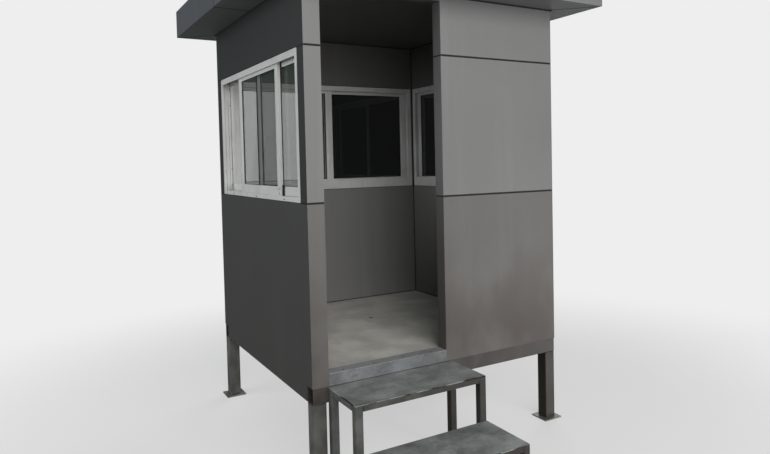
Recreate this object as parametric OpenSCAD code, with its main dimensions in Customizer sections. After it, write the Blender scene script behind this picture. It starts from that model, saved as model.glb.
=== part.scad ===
// Security guard booth on four legs: a square cabin with a doorway, sliding
// windows on three sides, a flat overhanging roof and a two-step entrance.
// Units are millimetres. +X is to the right of someone facing the doorway,
// +Y runs from the doorway to the back, +Z is up. The origin is at ground
// level in the middle of the plan outline, steps and roof included.

/* [Cabin] */
// Width of the cabin over its cladding
cabin_w = 2000; // [1600:10:2600]
// Depth of the cabin over its cladding
cabin_d = 2000; // [1600:10:2600]
// Height of the cabin's underside above the ground
base_z = 520; // [420:5:700]
// Height from the cabin's underside to the soffit
wall_h = 2615; // [2400:5:3000]
// Height from the cabin's underside to the bottom of the windows
sill_h = 1245; // [1000:5:1350]
// Height of the window band
band_h = 965; // [700:5:1150]

/* [Steel frame] */
// Side of the square corner posts and legs
post_w = 90; // [70:1:110]
// Wall of the square tubes
tube_t = 4; // [2:0.5:6]
// Height of the base beams
beam_h = 100; // [80:1:140]
// Side of the plates under the legs
plate_w = 160; // [130:5:220]
// Thickness of the plates under the legs
plate_t = 10; // [6:1:16]

/* [Floor] */
// Height of the floor joists
joist_h = 57; // [40:1:80]
// Width of the floor joists
joist_w = 40; // [30:1:60]
// Number of joists between the two rim joists
joist_count = 6; // [3:1:8]
// Thickness of the floor board
deck_t = 18; // [12:1:25]

/* [Walls] */
// Thickness of the composite sheets outside and inside
sheet_t = 3; // [2:0.5:6]
// Width of the recessed joints between tiers of sheets
joint_w = 8; // [4:1:14]
// Width of the open joint in the inside corners
corner_joint_w = 5; // [3:1:10]
// Width of the corner pillars beside windows and doorway
pillar_w = 112; // [105:1:160]

/* [Doorway] */
// Clear width of the doorway
door_w = 882; // [700:1:1100]
// Height of the rail over the doorway
head_h = 40; // [25:1:90]

/* [Windows] */
// Thickness of the window frame behind its lips
frame_base = 24; // [15:1:30]
// Width of the frame's lips at the sides
jamb_lip = 40; // [32:1:60]
// Height of the frame's lip at the top
head_lip = 45; // [35:1:60]
// Height of the frame's outer lip at the bottom
sill_lip = 32; // [28:1:50]
// Height of the frame's inner lip at the bottom
sill_upstand = 88; // [50:1:110]
// Depth of the frame's outer lip
outer_lip_d = 10; // [6:1:14]
// Depth of the frame's inner lip
inner_lip_d = 26; // [15:1:30]
// Thickness of the sliding sashes
sash_t = 20; // [16:1:22]
// Space between the two sliding sashes
track_gap = 8; // [5:1:10]
// Width of the sashes' upright bars
stile_w = 65; // [45:1:80]
// Height of the sashes' bottom bars
bottom_rail_h = 69; // [50:1:90]
// Height of the sashes' top bars
top_rail_h = 42; // [30:1:60]
// How far the two sashes overlap when the window is shut
sash_overlap = 90; // [40:1:120]
// How far the left window's outer sash is slid open, towards the front
window_open = 447; // [0:1:600]
// Thickness of the glass
glass_t = 5; // [4:1:8]

/* [Roof] */
// Overhang of the roof past the cladding
overhang = 270; // [150:5:400]
// Height of the fascia
roof_h = 225; // [180:5:320]
// Thickness of the soffit and ceiling panels
soffit_t = 12; // [8:1:20]
// Width of the joints between soffit panels and between fascia boards
roof_joint_w = 6; // [3:1:10]
// Thickness of the roof deck
roof_deck_t = 20; // [12:1:30]
// Depth of the roof deck below the top of the fascia
parapet_h = 40; // [20:1:70]
// Width of the roof beams
roof_beam_w = 50; // [40:1:70]
// Number of roof beams
roof_beam_count = 8; // [5:1:10]

/* [Steps] */
// Width of the steps
step_w = 936; // [800:1:1100]
// How far the steps start outside the left side of the doorway
step_side = 8; // [0:1:60]
// Distance from the front of the cabin to the front of the upper step
upper_step_d = 385; // [300:5:450]
// Depth of the lower step
lower_step_d = 420; // [300:5:450]
// Height of the upper step above the ground
upper_step_z = 615; // [400:5:615]
// Height of the lower step above the ground
lower_step_z = 322; // [200:2:330]
// Thickness of the tread plates
tread_t = 5; // [4:0.5:8]
// Radius of the treads' corners
tread_r = 8; // [6:1:24]
// Side of the square tubes of the step frames
step_tube = 50; // [40:1:60]
// Height of the step frames' rails
step_rail_h = 34; // [25:1:45]

/* [Hidden] */

// Gap between pieces that butt together or rest side by side
fit = 0.3;
// Radius of the steel tubes' outside corners
tube_r = 6;
// Play that a sash has in the window's frame
sash_play = 4;

// Levels
beam_top = base_z + beam_h;
joist_top = beam_top + joist_h;
floor_z = joist_top + deck_t;
sill_z = base_z + sill_h;
head_z = sill_z + band_h;
soffit_z = base_z + wall_h;
frame_top = soffit_z + soffit_t;
roof_z = soffit_z + roof_h;

// Walls, measured from their outer face
post_end = sheet_t + post_w;
wall_t = post_end + sheet_t;
door_right = pillar_w + door_w;

// Outer faces of the cabin
step_reach = upper_step_d + lower_step_d;
left_x = -cabin_w / 2;
right_x = cabin_w / 2;
front_y = (step_reach - overhang - cabin_d) / 2;
back_y = front_y + cabin_d;

// Window tracks, measured from the outer face
track_1 = outer_lip_d + sash_play;
track_2 = track_1 + sash_t + track_gap;
sash_z = sill_z + frame_base + fit;
sash_h = band_h - 2 * frame_base - sash_play;

// Roof
roof_beam_h = roof_h - soffit_t - roof_deck_t - parapet_h;
roof_w = cabin_w + 2 * overhang;
roof_d = cabin_d + 2 * overhang;

// Steps
step_x = left_x + pillar_w - step_side;
upper_front_y = front_y - upper_step_d;
lower_front_y = front_y - step_reach;

// Colours
steel_grey = [0.46, 0.47, 0.46];
sheet_dark = [0.30, 0.30, 0.30];
sheet_light = [0.52, 0.52, 0.53];
core_black = [0.05, 0.05, 0.05];
frame_white = [0.80, 0.81, 0.81];
glass_tint = [0.08, 0.10, 0.10, 0.6];
board_beige = [0.66, 0.65, 0.61];
galvanised = [0.50, 0.54, 0.56];

// ---------------------------------------------------------------- placing

// A wall is drawn with x along it, y inwards from its outer face and z up,
// and these put it on its side of the cabin. On the left, right and back the
// x runs from the end where the window stands open.
module on_left() {
  translate([left_x, front_y, 0]) mirror([1, -1, 0]) children();
}

module on_right() {
  translate([right_x, front_y, 0]) rotate([0, 0, 90]) children();
}

module on_back() {
  translate([left_x, back_y, 0]) mirror([0, 1, 0]) children();
}

module on_front() {
  translate([left_x, front_y, 0]) children();
}

// A box from its low corner to its high corner
module block(low, high) {
  translate(low) cube(high - low);
}

// ---------------------------------------------------------------- steel

// A square or rectangular tube standing on z = 0, with rounded edges
module tube(w, d, h, wall = tube_t) {
  difference() {
    rounded_block(w, d, h, tube_r);
    translate([wall, wall, -1]) cube([w - 2 * wall, d - 2 * wall, h + 2]);
  }
}

// A block with its four upright edges rounded
module rounded_block(w, d, h, r) {
  linear_extrude(height = h) rounded_plan(w, d, r);
}

module rounded_plan(w, d, r) {
  union() {
    translate([r, 0]) square([w - 2 * r, d]);
    translate([0, r]) square([w, d - 2 * r]);
    for (x = [r, w - r], y = [r, d - r]) translate([x, y]) circle(r = r, $fn = 48);
  }
}

// The low corner of a leg or corner post: side_x and side_y are 0 at the
// left and front and 1 at the right and back
function post_x(side_x) = side_x == 0 ? left_x + sheet_t : right_x - post_end;
function post_y(side_y) = side_y == 0 ? front_y + sheet_t : back_y - post_end;

module leg(side_x, side_y) {
  color(steel_grey) translate([post_x(side_x), post_y(side_y), plate_t])
    tube(post_w, post_w, base_z - plate_t);
}

// The front left plate is notched round the steps' nearest leg
module base_plates() {
  inset = (plate_w - post_w) / 2;
  color(steel_grey) difference() {
    for (side_x = [0, 1], side_y = [0, 1])
      translate([post_x(side_x) - inset, post_y(side_y) - inset, 0]) cube([plate_w, plate_w, plate_t]);
    translate([step_x - fit, front_y + sheet_t - fit - step_tube - fit, -1])
      cube([step_tube + 2 * fit, step_tube + 2 * fit, plate_t + 2]);
  }
}

// The front and back beams run the whole width with open ends
module base_beam_across(y) {
  length = cabin_w - 2 * sheet_t;
  color(steel_grey) translate([left_x + sheet_t, y, base_z]) difference() {
    cube([length, post_w, beam_h]);
    translate([-1, tube_t, tube_t]) cube([length + 2, post_w - 2 * tube_t, beam_h - 2 * tube_t]);
  }
}

// The side beams fit between the front and back beams
module base_beam_along(x) {
  length = cabin_d - 2 * post_end - 2 * fit;
  color(steel_grey) translate([x, front_y + post_end + fit, base_z]) difference() {
    cube([post_w, length, beam_h]);
    translate([tube_t, -1, tube_t]) cube([post_w - 2 * tube_t, length + 2, beam_h - 2 * tube_t]);
  }
}

module corner_posts() {
  color(steel_grey) for (side_x = [0, 1], side_y = [0, 1])
    translate([post_x(side_x), post_y(side_y), beam_top]) tube(post_w, post_w, frame_top - beam_top);
}

// ---------------------------------------------------------------- floor

// Rim joists between the corner posts, and full-length joists between them
module floor_joists() {
  first_x = left_x + post_end + fit;
  step_between = (cabin_w - 2 * (post_end + fit) - joist_w) / (joist_count - 1);
  color(steel_grey) {
    for (x = [left_x + sheet_t, right_x - sheet_t - joist_w])
      translate([x, front_y + post_end + fit, beam_top])
        cube([joist_w, cabin_d - 2 * (post_end + fit), joist_h]);
    for (i = [0 : joist_count - 1])
      translate([first_x + i * step_between, front_y + sheet_t, beam_top])
        cube([joist_w, cabin_d - 2 * sheet_t, joist_h]);
  }
}

// The floor board, notched round the corner posts
module floor_deck() {
  color(board_beige) difference() {
    block([left_x + sheet_t, front_y + sheet_t, joist_top], [right_x - sheet_t, back_y - sheet_t, floor_z]);
    for (side_x = [0, 1], side_y = [0, 1])
      translate([post_x(side_x) - fit, post_y(side_y) - fit, joist_top - 1])
        cube([post_w + 2 * fit, post_w + 2 * fit, deck_t + 2]);
  }
}

// ---------------------------------------------------------------- walls

// The framed infill of a wall with a window: lower and upper parts and the
// studs at the window's two ends
module window_wall(length) {
  near = post_end + fit;
  far = length - post_end - fit;
  color(core_black) {
    block([near, sheet_t, floor_z], [far, post_end, sill_z]);
    block([near, sheet_t, head_z], [far, post_end, frame_top]);
    for (x = [near, length - pillar_w + fit])
      block([x, sheet_t, sill_z + fit], [x + pillar_w - post_end - 2 * fit, post_end, head_z - fit]);
  }
}

// The infill beside the doorway: the wall on its right and the stud on its left
module front_wall() {
  color(core_black) on_front() {
    block([door_right + sheet_t, sheet_t, floor_z], [cabin_w - post_end - fit, post_end, frame_top]);
    block([post_end + fit, sheet_t, floor_z], [pillar_w - sheet_t, post_end, frame_top]);
  }
}

// Outer sheets of a side wall, in three tiers between the front and back
// sheets, with the lower corners cut away round the ends of the base beams
module side_cladding() {
  low = sheet_t + fit;
  high = cabin_d - sheet_t - fit;
  color(sheet_dark) {
    difference() {
      block([low, 0, base_z], [high, sheet_t, sill_z - joint_w / 2]);
      for (x = [low - 1, high - post_w])
        translate([x, -1, base_z - 1]) cube([post_w + 1, sheet_t + 2, beam_h + 1]);
    }
    block([low, 0, head_z + joint_w / 2], [high, sheet_t, soffit_z]);
    for (x = [low, cabin_d - pillar_w + fit])
      block([x, 0, sill_z + joint_w / 2], [x + pillar_w - sheet_t - 2 * fit, sheet_t, head_z - joint_w / 2]);
  }
}

// Outer sheets of the back wall
module back_cladding() {
  color(sheet_light) on_back() {
    block([0, 0, beam_top], [cabin_w, sheet_t, sill_z - joint_w / 2]);
    block([0, 0, head_z + joint_w / 2], [cabin_w, sheet_t, soffit_z]);
    for (x = [0, cabin_w - pillar_w + fit])
      block([x, 0, sill_z + joint_w / 2], [x + pillar_w - fit, sheet_t, head_z - joint_w / 2]);
  }
}

// The low and high level of each of the three tiers of sheets
function tiers(bottom) = [
  [bottom, sill_z - joint_w / 2],
  [sill_z + joint_w / 2, head_z - joint_w / 2],
  [head_z + joint_w / 2, soffit_z]
];

// Sheets right of the doorway, folded round its side above the floor
module front_cladding() {
  color(sheet_light) on_front() for (tier = tiers(beam_top)) {
    block([door_right, 0, tier[0]], [cabin_w, sheet_t, tier[1]]);
    block([door_right, 0, max(tier[0], floor_z)], [door_right + sheet_t - fit, wall_t, tier[1]]);
  }
}

// Sheets folded round the pillar left of the doorway
module front_corner_cladding() {
  color(sheet_light) on_front() for (tier = tiers(beam_top)) {
    low_z = max(tier[0], floor_z);
    block([0, 0, tier[0]], [pillar_w, sheet_t, tier[1]]);
    block([pillar_w - sheet_t + fit, 0, low_z], [pillar_w, wall_t, tier[1]]);
    block([wall_t + corner_joint_w, post_end + fit, low_z], [pillar_w, wall_t, tier[1]]);
  }
}

// Inner sheets of a wall with a window
module window_lining(length) {
  near = wall_t + corner_joint_w;
  far = length - wall_t - corner_joint_w;
  color(sheet_dark) {
    block([near, post_end, floor_z], [far, wall_t, sill_z - joint_w / 2]);
    block([near, post_end, head_z + joint_w / 2], [far, wall_t, soffit_z]);
    for (x = [near, length - pillar_w + fit])
      block([x, post_end, sill_z + joint_w / 2],
            [x + pillar_w - near - fit, wall_t, head_z - joint_w / 2]);
  }
}

// Inner sheets right of the doorway
module front_lining() {
  color(sheet_dark) on_front() for (tier = tiers(floor_z))
    block([door_right + sheet_t, post_end, tier[0]], [cabin_w - wall_t - corner_joint_w, wall_t, tier[1]]);
}

// ---------------------------------------------------------------- doorway

// Folded strip that covers the edge of the floor under the doorway
module door_sill() {
  color(galvanised) on_front() difference() {
    block([pillar_w + fit, 0, beam_top], [door_right - fit, wall_t, floor_z + sheet_t]);
    block([0, sheet_t, beam_top - 1], [cabin_w, wall_t + 1, floor_z]);
  }
}

module door_head() {
  color(sheet_dark) on_front()
    block([pillar_w + fit, 0, soffit_z - head_h], [door_right - fit, wall_t, soffit_z]);
}

// ---------------------------------------------------------------- windows

// Section of a frame bar: x across the wall's opening, y inwards from the
// outer face. The sashes run in the channel between its two lips.
module frame_section(outer_lip, inner_lip) {
  union() {
    square([frame_base, wall_t]);
    square([outer_lip, outer_lip_d]);
    translate([0, wall_t - inner_lip_d]) square([inner_lip, inner_lip_d]);
  }
}

module window_frame(length) {
  width = length - 2 * pillar_w;
  bar = width - 2 * jamb_lip - 2 * fit;
  color(frame_white) {
    translate([pillar_w, 0, sill_z]) linear_extrude(height = band_h) frame_section(jamb_lip, jamb_lip);
    translate([length - pillar_w, 0, sill_z]) mirror([1, 0, 0]) linear_extrude(height = band_h)
      frame_section(jamb_lip, jamb_lip);
    translate([pillar_w + jamb_lip + fit, 0, sill_z]) rotate([0, -90, 0]) mirror([0, 0, 1])
      linear_extrude(height = bar) frame_section(sill_lip, sill_upstand);
    translate([pillar_w + jamb_lip + fit, 0, head_z]) mirror([0, 0, 1]) rotate([0, -90, 0])
      mirror([0, 0, 1]) linear_extrude(height = bar) frame_section(head_lip, head_lip);
  }
}

// Width of a sash, and where a shut sash starts at the near and at the far
// end of a wall
function sash_w(length) = (length - 2 * pillar_w - 2 * frame_base + sash_overlap) / 2 - sash_play;
near_sash_x = pillar_w + frame_base + sash_play / 2;
function far_sash_x(length) = length - near_sash_x - sash_w(length);

// Two stiles, and a top and a bottom rail between them
module sash(width) {
  for (x = [0, width - stile_w]) translate([x, 0, 0]) cube([stile_w, sash_t, sash_h]);
  translate([stile_w + fit, 0, 0]) cube([width - 2 * (stile_w + fit), sash_t, bottom_rail_h]);
  translate([stile_w + fit, 0, sash_h - top_rail_h])
    cube([width - 2 * (stile_w + fit), sash_t, top_rail_h]);
}

module window_sashes(length, outer_x, inner_x) {
  color(frame_white) {
    translate([outer_x, track_1, sash_z]) sash(sash_w(length));
    translate([inner_x, track_2, sash_z]) sash(sash_w(length));
  }
}

module pane(width) {
  translate([stile_w + fit, (sash_t - glass_t) / 2, bottom_rail_h + fit])
    cube([width - 2 * (stile_w + fit), glass_t, sash_h - bottom_rail_h - top_rail_h - 2 * fit]);
}

module window_glass(length, outer_x, inner_x) {
  color(glass_tint) {
    translate([outer_x, track_1, sash_z]) pane(sash_w(length));
    translate([inner_x, track_2, sash_z]) pane(sash_w(length));
  }
}

// ---------------------------------------------------------------- roof

// One half of the roof's edge on one side, drawn for the front: mitred at the
// outer corner, which is at x = 0, with a joint at the middle of the side
module edge_half(length, depth, height, mitre_gap) {
  half = (length - roof_joint_w) / 2;
  linear_extrude(height = height)
    polygon([[mitre_gap / 2, 0], [half, 0], [half, depth], [depth + mitre_gap / 2, depth]]);
}

// One side of the roof's edge
module edge_side(length, depth, height, mitre_gap) {
  edge_half(length, depth, height, mitre_gap);
  translate([length, 0, 0]) mirror([1, 0, 0]) edge_half(length, depth, height, mitre_gap);
}

// All four sides, with their outer edge at the roof's outline less inset
module edge_ring(inset, depth, height, mitre_gap) {
  w = roof_w - 2 * inset;
  d = roof_d - 2 * inset;
  translate([left_x - overhang + inset, front_y - overhang + inset, 0]) for (far = [0, 1]) {
    translate([far * w, far * d, 0]) rotate([0, 0, far * 180]) {
      edge_side(w, depth, height, mitre_gap);
      mirror([1, -1, 0]) edge_side(d, depth, height, mitre_gap);
    }
  }
}

module soffit() {
  color(sheet_dark) translate([0, 0, soffit_z])
    edge_ring(sheet_t + fit, overhang - fit, soffit_t, roof_joint_w);
}

module fascia() {
  color(sheet_light) translate([0, 0, soffit_z]) edge_ring(0, sheet_t, roof_h, fit);
}

module ceiling() {
  edge = post_end + fit;
  color(sheet_dark)
    block([left_x + edge, front_y + edge, soffit_z], [right_x - edge, back_y - edge, frame_top]);
}

// Beams from fascia to fascia, the first and last just inside the front and
// back fascia
module roof_beams() {
  span = roof_w - 2 * (sheet_t + fit);
  pitch = (roof_d - 2 * (sheet_t + fit) - roof_beam_w) / (roof_beam_count - 1);
  color(steel_grey) for (i = [0 : roof_beam_count - 1])
    translate([left_x - overhang + sheet_t + fit, front_y - overhang + sheet_t + fit + i * pitch, frame_top])
      cube([span, roof_beam_w, roof_beam_h]);
}

module roof_deck() {
  edge = overhang - sheet_t - fit;
  color(steel_grey)
    block([left_x - edge, front_y - edge, frame_top + roof_beam_h],
          [right_x + edge, back_y + edge, frame_top + roof_beam_h + roof_deck_t]);
}

// ---------------------------------------------------------------- steps

module tread(front, depth, top) {
  color(galvanised) translate([step_x, front, top - tread_t]) rounded_block(step_w, depth, tread_t, tread_r);
}

// A leg from the ground to a height under a tread
module step_leg(x, y, top) {
  translate([x, y, 0]) difference() {
    rounded_block(step_tube, step_tube, top, tube_r);
    translate([tube_t, tube_t, -1]) cube([step_tube - 2 * tube_t, step_tube - 2 * tube_t, top + 2]);
  }
}

// Rails under a tread: along its front and back, and at its two ends
module step_rails(front, depth, top) {
  bottom = top - step_rail_h;
  x_far = step_x + step_w - step_tube;
  for (y = [front, front + depth - step_tube])
    block([step_x + step_tube + fit, y, bottom], [x_far - fit, y + step_tube, top]);
  for (x = [step_x, x_far])
    block([x, front + step_tube + fit, bottom], [x + step_tube, front + depth - step_tube - fit, top]);
}

module upper_step_frame() {
  top = upper_step_z - tread_t;
  depth = upper_step_d + sheet_t - fit;
  color(steel_grey) {
    step_rails(upper_front_y, depth, top);
    for (x = [step_x, step_x + step_w - step_tube], y = [upper_front_y, upper_front_y + depth - step_tube])
      step_leg(x, y, top);
  }
}

// The lower step hangs on the upper step's front legs at its back and has
// legs of its own at the front
module lower_step_frame() {
  top = lower_step_z - tread_t;
  depth = lower_step_d - fit;
  bottom = top - step_rail_h;
  x_far = step_x + step_w - step_tube;
  color(steel_grey) {
    step_rails(lower_front_y, depth, top);
    for (x = [step_x, x_far]) {
      step_leg(x, lower_front_y, top);
      block([x, lower_front_y + depth - step_tube, bottom], [x + step_tube, lower_front_y + depth, top]);
    }
  }
}

// ---------------------------------------------------------------- nodes

leg(0, 0);  // leg_front_left
leg(1, 0);  // leg_front_right
leg(0, 1);  // leg_back_left
leg(1, 1);  // leg_back_right
base_plates();
base_beam_across(front_y + sheet_t);  // base_beam_front
base_beam_across(back_y - post_end);  // base_beam_back
base_beam_along(left_x + sheet_t);  // base_beam_left
base_beam_along(right_x - post_end);  // base_beam_right
floor_joists();
floor_deck();
corner_posts();
on_left() window_wall(cabin_d);  // left_wall
on_right() window_wall(cabin_d);  // right_wall
on_back() window_wall(cabin_w);  // back_wall
front_wall();
on_left() side_cladding();  // left_cladding
on_right() side_cladding();  // right_cladding
back_cladding();
front_cladding();
front_corner_cladding();
on_left() window_lining(cabin_d);  // left_lining
on_right() window_lining(cabin_d);  // right_lining
on_back() window_lining(cabin_w);  // back_lining
front_lining();
door_sill();
door_head();
on_left() window_frame(cabin_d);  // left_window_frame
on_left()  // left_window_sashes
  window_sashes(cabin_d, far_sash_x(cabin_d) - window_open, near_sash_x);
on_left()  // left_window_glass
  window_glass(cabin_d, far_sash_x(cabin_d) - window_open, near_sash_x);
on_right() window_frame(cabin_d);  // right_window_frame
on_right()  // right_window_sashes
  window_sashes(cabin_d, near_sash_x, far_sash_x(cabin_d));
on_right()  // right_window_glass
  window_glass(cabin_d, near_sash_x, far_sash_x(cabin_d));
on_back() window_frame(cabin_w);  // back_window_frame
on_back() window_sashes(cabin_w, far_sash_x(cabin_w), near_sash_x);  // back_window_sashes
on_back() window_glass(cabin_w, far_sash_x(cabin_w), near_sash_x);  // back_window_glass
soffit();
ceiling();
roof_beams();
fascia();
roof_deck();
tread(upper_front_y, upper_step_d + sheet_t - fit, upper_step_z);  // upper_step_tread
upper_step_frame();
tread(lower_front_y, lower_step_d - fit, lower_step_z);  // lower_step_tread
lower_step_frame();
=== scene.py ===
"""Security guard booth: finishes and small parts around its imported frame.

Sizes are metres. +X is to the right of someone facing the doorway, +Y runs
from the doorway to the back and +Z is up. The origin is at ground level under
the middle of the roof and steps.
"""

import logging
import math
from dataclasses import dataclass
from enum import Enum
from functools import lru_cache

import bmesh
import bpy
from mathutils import Matrix, Vector


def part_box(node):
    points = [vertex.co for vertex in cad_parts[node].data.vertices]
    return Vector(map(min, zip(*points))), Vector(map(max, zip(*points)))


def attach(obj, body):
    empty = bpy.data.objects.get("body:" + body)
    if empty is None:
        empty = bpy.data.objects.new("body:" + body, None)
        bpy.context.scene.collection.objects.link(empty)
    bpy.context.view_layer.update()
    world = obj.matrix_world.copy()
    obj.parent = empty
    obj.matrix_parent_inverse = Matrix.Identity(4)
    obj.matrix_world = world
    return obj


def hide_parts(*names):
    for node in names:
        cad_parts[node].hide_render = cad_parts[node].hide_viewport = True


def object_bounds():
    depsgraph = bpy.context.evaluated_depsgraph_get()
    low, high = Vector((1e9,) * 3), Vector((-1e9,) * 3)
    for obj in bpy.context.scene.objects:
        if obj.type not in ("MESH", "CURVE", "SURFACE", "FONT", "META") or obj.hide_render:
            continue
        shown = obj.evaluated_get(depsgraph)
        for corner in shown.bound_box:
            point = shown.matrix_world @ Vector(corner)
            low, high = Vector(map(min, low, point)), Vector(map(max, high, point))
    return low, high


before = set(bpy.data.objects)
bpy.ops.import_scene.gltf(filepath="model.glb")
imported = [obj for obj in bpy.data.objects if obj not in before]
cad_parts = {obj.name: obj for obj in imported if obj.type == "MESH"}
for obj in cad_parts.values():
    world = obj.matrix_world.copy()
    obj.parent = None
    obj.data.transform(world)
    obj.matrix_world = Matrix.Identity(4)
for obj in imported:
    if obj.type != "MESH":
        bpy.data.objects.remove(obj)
CAD_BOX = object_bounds()

LOG = logging.getLogger("guard_booth")
Colour = tuple[float, float, float]
Outline = list[tuple[float, float]]


class Slot(Enum):
    """Material slots of the booth's record."""

    STEEL = "steel_frame"
    GALVANISED = "galvanised"
    PANEL_DARK = "panel_dark"
    PANEL_LIGHT = "panel_light"
    INFILL = "infill"
    WINDOW = "window_frame"
    GLASS = "window_glass"
    FLOOR = "floor_board"
    ROOF = "roof_deck"


class Side(Enum):
    """The four sides of the cabin."""

    LEFT = "left"
    RIGHT = "right"
    BACK = "back"
    FRONT = "front"


# ------------------------------------------------------------ shader maths


class Value:
    """A number in a material's graph that Python arithmetic works on."""

    def __init__(self, graph: "Graph", socket: bpy.types.NodeSocket) -> None:
        """Wraps a socket of a graph."""
        self.graph = graph
        self.socket = socket

    def _math(self, operation: str, *operands: "Value | float") -> "Value":
        """Adds one Math node and wraps its result."""
        node = self.graph.node("ShaderNodeMath", {"operation": operation}, dict(enumerate(operands)))
        return Value(self.graph, node.outputs[0])

    def __add__(self, other: "Value | float") -> "Value":
        """self + other"""
        return self._math("ADD", self, other)

    __radd__ = __add__

    def __sub__(self, other: "Value | float") -> "Value":
        """self - other"""
        return self._math("SUBTRACT", self, other)

    def __rsub__(self, other: float) -> "Value":
        """other - self"""
        return self._math("SUBTRACT", other, self)

    def __mul__(self, other: "Value | float") -> "Value":
        """self * other"""
        return self._math("MULTIPLY", self, other)

    __rmul__ = __mul__

    def __abs__(self) -> "Value":
        """The size of the number, without its sign."""
        return self._math("ABSOLUTE", self)

    def least(self, other: "Value | float") -> "Value":
        """The smaller of two numbers."""
        return self._math("MINIMUM", self, other)

    def most(self, other: "Value | float") -> "Value":
        """The larger of two numbers."""
        return self._math("MAXIMUM", self, other)

    def rise(self, low: float, high: float) -> "Value":
        """A smooth step.

        Args:
            low: where the result is 0.
            high: where the result is 1; below low, the step falls.

        Returns:
            A number from 0 to 1.
        """
        limits = {"Value": self, "From Min": low, "From Max": high}
        node = self.graph.node("ShaderNodeMapRange", {"interpolation_type": "SMOOTHSTEP"}, limits)
        return Value(self.graph, node.outputs[0])


class Graph:
    """The node graph of one material, read from Object coordinates."""

    def __init__(self, name: str) -> None:
        """Makes an empty material with a Principled shader."""
        self.material = bpy.data.materials.new(name)
        self.material.use_nodes = True
        self.tree = self.material.node_tree
        self.shader = self.tree.nodes["Principled BSDF"]
        self.place = self.node("ShaderNodeTexCoord").outputs["Object"]
        split = self.node("ShaderNodeSeparateXYZ", {}, {"Vector": self.place})
        self.x, self.y, self.z = (Value(self, socket) for socket in split.outputs)

    def node(self, kind: str, settings: dict | None = None, inputs: dict | None = None) -> bpy.types.Node:
        """Adds any node.

        Args:
            kind: the node's type.
            settings: its own settings, by name.
            inputs: values, colours or links by the socket's name or number.

        Returns:
            The new node.
        """
        node = self.tree.nodes.new(kind)
        for name, value in (settings or {}).items():
            setattr(node, name, value)
        for key, value in (inputs or {}).items():
            self.feed(node.inputs[key], value)
        return node

    def feed(self, socket: bpy.types.NodeSocket, value: object) -> None:
        """Links a Value or a socket to a socket, or sets its number or colour."""
        if isinstance(value, Value):
            value = value.socket
        if isinstance(value, bpy.types.NodeSocket):
            self.tree.links.new(value, socket)
        elif socket.type == "RGBA":
            socket.default_value = (*value, 1.0)
        else:
            socket.default_value = value

    def noise(self, scale: float, detail: float = 3.0, stretch: Colour = (1, 1, 1),
              shift: float = 0.0) -> Value:
        """Cloudy noise around 0.5.

        Args:
            scale: cycles in a metre.
            detail: octaves.
            stretch: how much faster it changes along X, Y and Z.
            shift: offset that makes one noise differ from another.

        Returns:
            A number from about 0.25 to 0.75.
        """
        turned = self.node("ShaderNodeMapping", {}, {"Vector": self.place, "Scale": stretch,
                                                     "Location": (shift, shift, shift)})
        inputs = {"Vector": turned.outputs[0], "Scale": scale, "Detail": detail}
        return Value(self, self.node("ShaderNodeTexNoise", {}, inputs).outputs["Fac"])

    def cells(self, scale: float) -> Value:
        """Random grey of irregular cells, each about 1 / scale across."""
        node = self.node("ShaderNodeTexVoronoi", {}, {"Vector": self.place, "Scale": scale})
        split = self.node("ShaderNodeSeparateColor", {}, {"Color": node.outputs["Color"]})
        return Value(self, split.outputs[0])

    def mix(self, factor: "Value | float", low: object, high: object) -> bpy.types.NodeSocket:
        """A colour between two colours."""
        node = self.node("ShaderNodeMix", {"data_type": "RGBA"}, {0: factor, 6: low, 7: high})
        return node.outputs[2]

    def scaled(self, colour: object, factor: "Value | float") -> bpy.types.NodeSocket:
        """A colour times a number."""
        inputs = {"Vector": colour, "Scale": factor}
        return self.node("ShaderNodeVectorMath", {"operation": "SCALE"}, inputs).outputs["Vector"]

    def shades(self, factor: Value, colour: Colour, low: float, high: float) -> bpy.types.NodeSocket:
        """A colour that runs from low to high times its own brightness."""
        return self.mix(factor, [c * low for c in colour], [c * high for c in colour])

    def bump(self, height: Value, distance: float, strength: float = 1.0) -> bpy.types.NodeSocket:
        """A surface normal from a height of 0 to 1 that stands for a distance."""
        inputs = {"Height": height, "Distance": distance, "Strength": strength}
        return self.node("ShaderNodeBump", {}, inputs).outputs["Normal"]

    def set(self, **sockets: object) -> None:
        """Sets the shader's sockets; an underscore stands for a space."""
        for name, value in sockets.items():
            self.feed(self.shader.inputs[name.replace("_", " ")], value)


# --------------------------------------------------------------- finishes


def grey(level: float, warm: float = 0.0) -> Colour:
    """A near-neutral colour.

    Args:
        level: how light it is, 0 to 1, linear.
        warm: share of red added and of blue taken away; negative is cool.

    Returns:
        A linear colour.
    """
    return (level * (1 + warm), level, level * (1 - warm))


@dataclass(frozen=True)
class Finish:
    """A surface finish, with the record's slot that it belongs to."""

    name: str
    slot: Slot

    def paint(self, graph: Graph) -> None:
        """Builds the finish in a new material's graph."""
        raise NotImplementedError


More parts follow.
